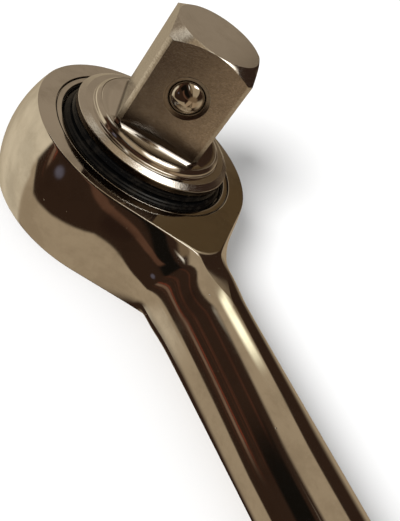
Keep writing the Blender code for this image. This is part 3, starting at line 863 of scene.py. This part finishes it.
def machined(name, colour, dark, gloss, pitch=0.25, depth=0.002):
    """Steel or bronze turned about Z: concentric marks, oil stains and soft wear."""
    material = bpy.data.materials.new(name)
    paint = Paint(material)
    where = paint.place()
    axes = paint.split(where)
    run = paint.plus(paint.distance(axes[0], axes[1]), axes[2])
    groove = paint.lines(run, 1 / pitch)
    stain = paint.noise(where, scale=0.25, detail=4.0)
    shade = paint.blend(paint.spread(stain, 0.35, 0.7), colour, dark)
    rough = paint.spread(stain, 0.3, 0.8, gloss * 0.8, gloss * 1.4)
    paint.finish(shade, rough, 1.0, paint.bump(groove, depth))
    return material


def staked_ring(paint, axes):
    """How much of a point lies in the staked ring round the detent ball."""
    turn_x = math.cos(DRIVE_TURN)
    turn_y = math.sin(DRIVE_TURN)
    along = paint.plus(paint.times(axes[0], turn_x), paint.times(axes[1], turn_y))
    across = paint.minus(paint.times(axes[1], turn_x), paint.times(axes[0], turn_y))
    off = paint.distance(across, paint.minus(axes[2], BALL_HEIGHT))
    on_near_flat = paint.spread(along, 7.0, 8.0)
    # drive_steel darkens this ring with painted shade.
    return paint.times(on_near_flat, paint.spread(off, STAKE_RADIUS + 0.15, STAKE_RADIUS))


def drive_steel():
    """Ground flats on the square, turned marks on the rings, a rougher bevelled band."""
    material = bpy.data.materials.new("drive_steel")
    paint = Paint(material)
    where = paint.place()
    axes = paint.split(where)
    radius = paint.distance(axes[0], axes[1])
    on_square = paint.spread(axes[2], HUB_TOP + 0.1, HUB_TOP + 0.4)
    below_end = paint.spread(axes[2], SQUARE_TIP - 0.05, SQUARE_TIP - 0.25, 0.15, 1.0)
    on_flats = paint.times(on_square, below_end)
    above_flank = paint.spread(axes[2], BAND_EDGE - 0.2, BAND_EDGE - 0.06)
    on_band = paint.times(paint.spread(radius, BAND_RADIUS - 0.05, BAND_RADIUS + 0.05), above_flank)
    # Below the band's edge: rougher, and darkened by painted shade in the colour.
    under_band = paint.times(paint.spread(radius, NECK_RADIUS - 0.3, NECK_RADIUS - 0.1),
                             paint.minus(1.0, above_flank))
    haze = paint.noise(where, scale=0.14, detail=4.0)

    # Relief: turned lines, grain across the flats, a blasted band.
    grain = paint.noise(paint.place((0.4, 0.4, 2.2)), scale=1.6, detail=4.0, roughness=0.7)
    blast = paint.noise(where, scale=3.0, detail=2.0, roughness=0.8)
    marks = paint.blend(on_flats, paint.lines(paint.plus(radius, axes[2]), 5.0),
                        paint.times(grain, 20.0))
    marks = paint.blend(on_band, marks, paint.times(blast, 70.0))
    swell = paint.bump(paint.noise(where, scale=0.2, detail=1.0), depth=0.004)

    rough = paint.spread(haze, 0.3, 0.75, 0.07, 0.13)
    for mask, extra in ((on_square, 0.08), (on_band, 0.07), (under_band, 0.15)):
        rough = paint.plus(rough, paint.times(mask, extra))

    # Colour: haze, worn specks on the flats, and painted shade at their foot, under the band and in
    # the ring round the ball.
    speck = paint.spread(paint.noise(paint.place((0.5, 0.5, 1.0)), scale=3.6, roughness=0.8),
                         0.38, 0.62, 0.0, 0.6)
    # Painted shade at the foot of the square: darker towards the hub, with a ragged upper edge from
    # the haze.
    height = paint.plus(axes[2], paint.times(haze, 4.0))
    film_and_shade = paint.times(on_square, paint.spread(height, HUB_TOP + 8.0, HUB_TOP + 4.0))
    colour = paint.blend(paint.spread(haze, 0.45, 0.8), CHROME, CHROME_DULL)
    colour = paint.blend(paint.times(on_flats, speck), colour, CHROME_WORN)
    # Painted shade: darker at the foot of the square, on the collar under the band and in the staked
    # ring round the ball.
    for painted_shade in (paint.times(film_and_shade, 0.75), under_band, paint.times(staked_ring(paint, axes), 0.6)):
        colour = paint.blend(painted_shade, colour, PAINTED_SHADE_DARK)
    paint.finish(colour, rough, 1.0, paint.bump(marks, depth=0.0005, before=swell))
    return material


def rubber(name):
    """Black seal rubber, slightly oily, with dust in the grooves."""
    material = bpy.data.materials.new(name)
    paint = Paint(material)
    where = paint.place()
    film_and_shade = paint.noise(where, scale=0.5, detail=4.0)
    fine = paint.noise(where, scale=6.0)
    colour = paint.blend(paint.spread(film_and_shade, 0.45, 0.8), RUBBER, RUBBER_DUSTY)
    rough = paint.spread(film_and_shade, 0.3, 0.75, 0.18, 0.34)
    paint.finish(colour, rough, 0.0, paint.bump(fine, depth=0.003), Specular_IOR_Level=0.22)
    return material


def paper():
    """The floor: a matt pale sheet."""
    material = bpy.data.materials.new("floor")
    paint = Paint(material)
    tint = paint.noise(paint.place(), scale=0.01, detail=2.0)
    paint.finish(paint.blend(tint, PAPER, PAPER_PALE), 0.9, 0.0, Specular_IOR_Level=0.0)
    return material


# Studio: a pale floor, one large soft key, and what polished metal mirrors: a dark room with
# three beige flats round the handle, small cards and lamps, and walls behind the head.
# A direction is an angle about the handle (0 is up, 90 is +Y) and a share along +X. Four
# numbers in a row say where a thing starts, is full, fades and ends; angles are in degrees.

ROOM_BROWN = tone(43, 29, 20)
FLAT_BEIGE = tone(146, 128, 103)
FLATS = ((-188, -160, -120, -116), (-14, -5, 42, 46), (80, 105, 122, 152))
SEAM = math.radians(162)      # angles are counted up to here, in the dark between two flats
TWIST = 2.0                   # turn of the flats in radians for each unit along X
TWIST_START = -0.42
TWIST_MIDDLE = -0.34
TWIST_END = -0.24
WOBBLE = 0.09                 # radians

THREAD_RED = tone(104, 58, 40)
THREAD_ANGLES = (-112, -98, -24, -14)
THREAD_SHARE = (-1.2, -1.1, -0.28, -0.20)
BLACK = tone(15, 12, 8)
BLACK_START = (-68, -60)
BLACK_END = (-32, -26)
BLACK_LEAN = 0.25             # of its far edge only, in radians along X
BLACK_SHARE = (-0.32, -0.24)
BAR_SHARE = (-0.46, -0.42, -0.28, -0.23)
CARDS = (                     # colour, angles, lean in radians along X, shares along X
    (tone(108, 84, 66), (-96, -93, -90, -88), 0.0, BAR_SHARE),
    (tone(112, 50, 32), (-88, -86.5, -86, -84.5), 0.0, BAR_SHARE),
    (tone(104, 86, 64), (-26, -18, -8, -4), 0.0, (0.1, 0.3, 0.66, 0.74)),
    (tone(80, 54, 39), (-59, -55, -47, -44), 0.68, (0.10, 0.20, 1.1, 1.2)),
)

WALL_STEPS = (                # from one angle to another, the walls' edge moves along X by a step
    (-124, -116, -0.045), (-62, -48, -0.155), (40, 46, 0.19), (57, 62, -0.19), (95, 105, 0.12),
)
WALL_EDGE = -0.40
WALL_OLIVE = tone(74, 58, 37)
WALL_GREY = tone(136, 121, 102)
WALL_LOW = tone(154, 139, 115)
WALL_BRIGHT = tone(190, 175, 149)
NEAR_DARK = tone(36, 23, 16)
NEAR_PALE = tone(138, 116, 90)
NEAR_LOW = tone(40, 30, 24)
NEAR_SHARE = (0.70, 0.76)
END_TAN = tone(104, 84, 62)   # what lies straight along the handle
END_SHARE = (0.84, 0.95)

COOL = tone(104, 101, 112)
COOL_SPOT = ((-0.05, -0.99, -0.12), 0, 6, 0.5)         # in the order of LAMPS
STREAK = (1.24, 1.14, 0.80, 1.0)
STREAK_ANGLES = (12, 25, 34, 46)
STREAK_SHARE = (-0.52, -0.49, -0.385, -0.33)
LONG_LAMP = (-29.5, 2.0, 0.15, 0.3, 0.9)    # angle, its width, middle, reach along X, power
LONG_LAMP_CURVE = (0.14, 0.49)              # radians along X and along X squared
LAMPS = (                     # direction, angle of the core, angle of the rim, power
    ((-0.53, -0.11, 0.84), 4, 10, 0.5),
    ((0.15, 0.31, 0.94), 6, 14, 2.2),
    ((0.17, 0.09, 0.98), 5, 11, 1.0),
)
LAMP_WARM = (1.0, 0.86, 0.60, 1.0)
LAMP_WHITE = (1.0, 0.97, 0.90, 1.0)
SOFT_WHITE = (1.0, 0.995, 0.985, 1.0)
MIRRORED_STRENGTH = 1.16
SOFT_STRENGTH = 0.42

KEY_DIRECTION = (-0.30, 0.80, -0.50)
KEY_WIDTH = math.radians(18)
KEY_POWER = 5.0
FLOOR_SIZE = 12.0             # metres from the middle to an edge
FLOOR_MIDDLE = (0.2, 0, -0.00002)


def surroundings():
    """The world: what metal mirrors, and an even soft light for everything else."""
    world = bpy.data.worlds.new("studio")
    bpy.context.scene.world = world
    paint = Paint(world)
    way = paint.add("TexCoord").outputs["Generated"]
    mirror = paint.add("Background", {"Color": mirror_map(paint, way), "Strength": MIRRORED_STRENGTH})
    soft = paint.add("Background", {"Color": SOFT_WHITE, "Strength": SOFT_STRENGTH})
    rays = paint.add("LightPath").outputs["Is Glossy Ray"]
    both = paint.add("MixShader", {0: rays, 1: soft.outputs[0], 2: mirror.outputs[0]})
    paint.add("OutputWorld", {"Surface": both.outputs[0]})


def mirror_map(paint, way):
    """Flats and cards round the handle, walls behind the head, and the lamps."""
    axes = paint.split(way)
    x = axes[0]
    plain_angle = paint.math("ARCTAN2", axes[1], axes[2])
    wobble = paint.times(paint.minus(paint.noise(way, scale=2.2, detail=2.0), 0.5), WOBBLE)
    angle = paint.plus(plain_angle, wobble)
    along = paint.math("MINIMUM", paint.math("MAXIMUM", x, TWIST_START), TWIST_END)
    twisted = paint.plus(angle, paint.times(paint.minus(along, TWIST_MIDDLE), TWIST))
    sides = flats_and_cards(paint, x, twisted)
    sides = paint.blend(wall_share(paint, x, angle), sides, walls(paint, way, axes))
    sides = paint.blend(paint.spread(x, *END_SHARE), sides, END_TAN)
    sides = paint.blend(paint.spread(x, *NEAR_SHARE), sides, near_side(paint, axes, sides))
    sides = paint.blend(lamp_towards(paint, way, *COOL_SPOT), sides, COOL)
    streak = paint.times(paint.window(angle, *STREAK_ANGLES), paint.inside(x, *STREAK_SHARE))
    sides = paint.blend(streak, sides, STREAK)
    straight, squared = LONG_LAMP_CURVE
    curve = paint.plus(paint.times(x, straight), paint.times(x, x, squared))
    glow = long_lamp(paint, x, paint.plus(plain_angle, curve), *LONG_LAMP)
    for lamp in LAMPS:
        glow = paint.plus(glow, lamp_towards(paint, way, *lamp))
    light = paint.dimmed(paint.blend(glow, LAMP_WARM, LAMP_WHITE), glow)
    return paint.blend(1.0, sides, light, "ADD")


def flats_and_cards(paint, x, twisted):
    """The flats, fine reddish threads on the dark side, and the cards between the flats."""
    turn = paint.math("FRACT", paint.math("DIVIDE", paint.minus(twisted, SEAM), 2 * math.pi))
    around = paint.plus(paint.times(paint.minus(turn, 1.0), 2 * math.pi), SEAM)
    colour = ROOM_BROWN
    for flat in FLATS:
        colour = paint.blend(paint.window(around, *flat), colour, FLAT_BEIGE)
    across = paint.plus(paint.math("DIVIDE", around, 2 * math.pi), 0.5)
    threads = paint.spread(paint.lines(across, 75.0, row=0.02), 0.52, 0.78, 0.0, 0.55)
    share = paint.times(paint.window(twisted, *THREAD_ANGLES), threads,
                        paint.inside(x, *THREAD_SHARE))
    colour = paint.blend(share, colour, THREAD_RED)
    colour = paint.blend(black_share(paint, x, twisted), colour, BLACK)
    for card, angles, lean, shares in CARDS:
        leaning = paint.plus(twisted, paint.times(x, lean))
        share = paint.times(paint.inside(x, *shares), paint.window(leaning, *angles))
        colour = paint.blend(share, colour, card)
    return colour


def black_share(paint, x, twisted):
    """Where the black card is: its near edge is straight and its far edge leans."""
    start, full = map(math.radians, BLACK_START)
    fade, end = map(math.radians, BLACK_END)
    leaning = paint.plus(twisted, paint.times(x, BLACK_LEAN))
    return paint.times(paint.spread(twisted, start, full), paint.spread(leaning, end, fade),
                       paint.spread(x, *BLACK_SHARE))


def wall_share(paint, x, angle):
    """Where the walls behind the head take over from the flats."""
    edge = WALL_EDGE
    for start, end, step in WALL_STEPS:
        shift = paint.spread(angle, math.radians(start), math.radians(end), 0.0, step)
        edge = paint.plus(edge, shift)
    return paint.spread(paint.minus(x, edge), 0.03, -0.03)


def walls(paint, way, axes):
    """Mottled beige walls: olive above the bar, greyer behind the head, brighter low down."""
    mottle = paint.spread(paint.noise(way, scale=2.6, detail=4.0), 0.3, 0.7, 0.86, 1.06)
    high = paint.blend(paint.spread(axes[0], -0.52, -0.66), WALL_OLIVE, WALL_GREY)
    low = paint.blend(paint.spread(axes[1], 0.4, -0.2), WALL_LOW, WALL_BRIGHT)
    return paint.dimmed(paint.blend(paint.spread(axes[2], 0.28, 0.1), high, low), mottle)


def near_side(paint, axes, above):
    """What the square's near flat mirrors: brown, paler to one side, dark low down."""
    brown = paint.blend(paint.spread(axes[1], -0.435, -0.33), NEAR_DARK, NEAR_PALE)
    low = paint.times(paint.spread(axes[2], -0.452, -0.475), paint.spread(axes[1], -0.34, -0.385))
    brown = paint.blend(low, brown, NEAR_LOW)
    return paint.blend(paint.spread(axes[2], 0.0, -0.15), above, brown)


def long_lamp(paint, x, angle, centre, width, middle, reach, power):
    """A soft lamp that is long along X: its angle and width in degrees, its middle and reach."""
    off_angle = paint.math("DIVIDE", paint.minus(angle, math.radians(centre)), math.radians(width))
    off_along = paint.math("DIVIDE", paint.minus(x, middle), reach)
    return paint.spread(paint.distance(off_angle, off_along), 1.3, 0.0, 0.0, power)


def lamp_towards(paint, way, direction, core, rim, power):
    """A round soft lamp in one direction, full inside one angle and gone at another."""
    aimed = tuple(Vector(direction).normalized())
    facing = paint.add("VectorMath", {0: way, 1: aimed}, operation="DOT_PRODUCT").outputs["Value"]
    return paint.spread(facing, math.cos(math.radians(rim)), math.cos(math.radians(core)),
                        0.0, power)


def build_stage():
    shape = bmesh.new()
    bmesh.ops.create_grid(shape, x_segments=8, y_segments=8, size=FLOOR_SIZE)
    floor = as_object("floor", shape)
    floor.location = FLOOR_MIDDLE
    floor.data.materials.append(paper())
    floor.visible_glossy = False
    lamp = bpy.data.lights.new("key", "SUN")
    lamp.angle = KEY_WIDTH
    lamp.energy = KEY_POWER
    key = bpy.data.objects.new("key", lamp)
    bpy.context.scene.collection.objects.link(key)
    key.rotation_euler = Vector(KEY_DIRECTION).to_track_quat("-Z", "Y").to_euler()
    key.visible_glossy = False
    bpy.context.scene.view_settings.view_transform = "Standard"


# Putting it together.

def dress(piece, material, body, slot, *nodes):
    """A new piece: its finish, the body it rides on, and the CAD nodes it stands for."""
    piece.data.materials.clear()
    piece.data.materials.append(material)
    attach(piece, body)
    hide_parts(*nodes)


def refinish(node, material):
    """A better finish on a CAD node whose shape stays."""
    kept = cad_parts[node]
    for slot in kept.material_slots:
        slot.material = material


def main():
    plating = chrome("polished_chrome")
    seal = rubber("black_rubber")
    hardened = machined("hardened_steel", STEEL, STEEL_DARK, gloss=0.28)
    drawn = machined("spring_steel", WIRE, WIRE_DARK, gloss=0.22, pitch=0.12)
    bronze = machined("bronze", BRONZE, BRONZE_DARK, gloss=0.3)
    cover, lower, upper = build_rings()
    dress(build_body(), plating, "handle", "polished_chrome", "head_and_bar")
    dress(build_drive(), drive_steel(), "drive", "drive_steel", "drive_gear")
    ball_steel = chrome("ball_steel", gloss=0.03, wave=0.0, pits=0.0)
    dress(build_ball(), ball_steel, "ball", "ball_steel", "detent_ball")
    dress(cover, plating, "handle", "polished_chrome", "cover_ring")
    dress(lower, seal, "handle", "black_rubber", "lower_seal")
    dress(upper, seal, "drive", "black_rubber", "upper_seal")
    dress(build_snap_ring(), drawn, "handle", "spring_steel", "cover_snap_ring")
    lever_chrome = chrome("lever_chrome", gloss=0.08)
    dress(build_lever(), lever_chrome, "selector", "polished_chrome", "reversing_lever")
    dress(build_screw(), hardened, "selector", "hardened_steel", "lever_screw")
    for node in ("front_washer", "pawl", "pawl_pin", "pawl_plunger", "selector_spindle"):
        refinish(node, hardened)
    for node in ("detent_spring", "plunger_spring"):
        refinish(node, drawn)
    refinish("thrust_washer", bronze)
    refinish("spindle_oring", seal)
    surroundings()
    build_stage()


main()
